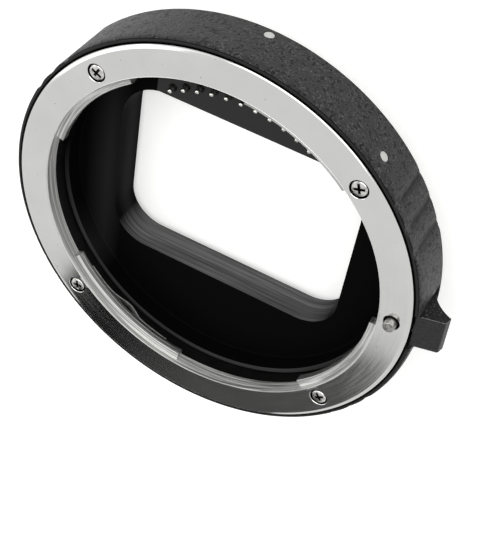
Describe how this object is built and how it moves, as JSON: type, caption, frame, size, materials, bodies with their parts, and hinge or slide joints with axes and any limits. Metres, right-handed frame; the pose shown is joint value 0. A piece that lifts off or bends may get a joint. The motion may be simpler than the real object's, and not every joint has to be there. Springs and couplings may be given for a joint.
{
  "type": "macro extension tube",
  "caption": "Thin round macro extension tube with a female bayonet in front, a male bayonet behind, a picture gate, sprung contact pins and a lens release slider.",
  "frame": {"origin": "middle of the whole tube's bounding box, in the plane of the rear bayonet's end face", "axes": "+Z along the optical axis toward the front flange, +Y toward the electrical contacts, +X toward the lens release slider; the optical axis is parallel to Z at x = -1.95 mm"},
  "size_m": [0.0736, 0.0696, 0.0166],
  "materials": {
    "chromed_brass": "satin chrome with fine turning lines",
    "textured_black_paint": "fine-grained matt black",
    "matt_black_abs": "matt black, light absorbing",
    "slider_black_abs": "smooth satin black",
    "spring_steel": "bright steel",
    "nickel_plated_screw": "nickel plated",
    "gold_plating": "gold plated",
    "polyimide_flex": "amber polyimide film",
    "white_paint": "pale index mark"
  },
  "bodies": {
    "tube": {"barrel": "textured_black_paint", "front_bayonet_ring": "chromed_brass", "rear_bayonet_ring": "chromed_brass", "light_baffle": "matt_black_abs", "front_contact_block": "matt_black_abs", "rear_contact_block": "matt_black_abs", "flex_circuit": "polyimide_flex", "front_index_dot": "white_paint", "rear_index_dot": "white_paint", "slider_spring": "spring_steel", "leaf_spring_1": "spring_steel", "front_screw_1": "nickel_plated_screw", "rear_screw_1": "nickel_plated_screw", "leaf_spring_2": "spring_steel", "front_screw_2": "nickel_plated_screw", "rear_screw_2": "nickel_plated_screw", "leaf_spring_3": "spring_steel", "front_screw_3": "nickel_plated_screw", "rear_screw_3": "nickel_plated_screw", "leaf_spring_4": "spring_steel", "front_screw_4": "nickel_plated_screw", "rear_screw_4": "nickel_plated_screw", "rear_contact_pad_01": "gold_plating", "rear_contact_pad_02": "gold_plating", "rear_contact_pad_03": "gold_plating", "rear_contact_pad_04": "gold_plating", "rear_contact_pad_05": "gold_plating", "rear_contact_pad_06": "gold_plating", "rear_contact_pad_07": "gold_plating", "rear_contact_pad_08": "gold_plating", "rear_contact_pad_09": "gold_plating", "rear_contact_pad_10": "gold_plating", "rear_contact_pad_11": "gold_plating"},
    "slider": {"release_slider": "slider_black_abs", "carrier_plate": "spring_steel", "carrier_rivet": "spring_steel", "lock_pin": "spring_steel"},
    "pin_01": {"contact_pin_01": "gold_plating"},
    "pin_02": {"contact_pin_02": "gold_plating"},
    "pin_03": {"contact_pin_03": "gold_plating"},
    "pin_04": {"contact_pin_04": "gold_plating"},
    "pin_05": {"contact_pin_05": "gold_plating"},
    "pin_06": {"contact_pin_06": "gold_plating"},
    "pin_07": {"contact_pin_07": "gold_plating"},
    "pin_08": {"contact_pin_08": "gold_plating"},
    "pin_09": {"contact_pin_09": "gold_plating"},
    "pin_10": {"contact_pin_10": "gold_plating"},
    "pin_11": {"contact_pin_11": "gold_plating"}
  },
  "joints": [
    {"name": "release_press", "type": "slide", "parent": "tube", "child": "slider", "axis": [0, 0, -1], "range_m": [0, 0.0019], "stiffness_N_per_m": 600, "springref_m": -0.002, "deforming": ["slider_spring"]},
    {"name": "pin_01_press", "type": "slide", "parent": "tube", "child": "pin_01", "axis": [0, 0, -1], "range_m": [0, 0.0007], "stiffness_N_per_m": 300, "springref_m": -0.0005},
    {"name": "pin_02_press", "type": "slide", "parent": "tube", "child": "pin_02", "axis": [0, 0, -1], "range_m": [0, 0.0007], "stiffness_N_per_m": 300, "springref_m": -0.0005},
    {"name": "pin_03_press", "type": "slide", "parent": "tube", "child": "pin_03", "axis": [0, 0, -1], "range_m": [0, 0.0007], "stiffness_N_per_m": 300, "springref_m": -0.0005},
    {"name": "pin_04_press", "type": "slide", "parent": "tube", "child": "pin_04", "axis": [0, 0, -1], "range_m": [0, 0.0007], "stiffness_N_per_m": 300, "springref_m": -0.0005},
    {"name": "pin_05_press", "type": "slide", "parent": "tube", "child": "pin_05", "axis": [0, 0, -1], "range_m": [0, 0.0007], "stiffness_N_per_m": 300, "springref_m": -0.0005},
    {"name": "pin_06_press", "type": "slide", "parent": "tube", "child": "pin_06", "axis": [0, 0, -1], "range_m": [0, 0.0007], "stiffness_N_per_m": 300, "springref_m": -0.0005},
    {"name": "pin_07_press", "type": "slide", "parent": "tube", "child": "pin_07", "axis": [0, 0, -1], "range_m": [0, 0.0007], "stiffness_N_per_m": 300, "springref_m": -0.0005},
    {"name": "pin_08_press", "type": "slide", "parent": "tube", "child": "pin_08", "axis": [0, 0, -1], "range_m": [0, 0.0007], "stiffness_N_per_m": 300, "springref_m": -0.0005},
    {"name": "pin_09_press", "type": "slide", "parent": "tube", "child": "pin_09", "axis": [0, 0, -1], "range_m": [0, 0.0007], "stiffness_N_per_m": 300, "springref_m": -0.0005},
    {"name": "pin_10_press", "type": "slide", "parent": "tube", "child": "pin_10", "axis": [0, 0, -1], "range_m": [0, 0.0007], "stiffness_N_per_m": 300, "springref_m": -0.0005},
    {"name": "pin_11_press", "type": "slide", "parent": "tube", "child": "pin_11", "axis": [0, 0, -1], "range_m": [0, 0.0007], "stiffness_N_per_m": 300, "springref_m": -0.0005}
  ]
}
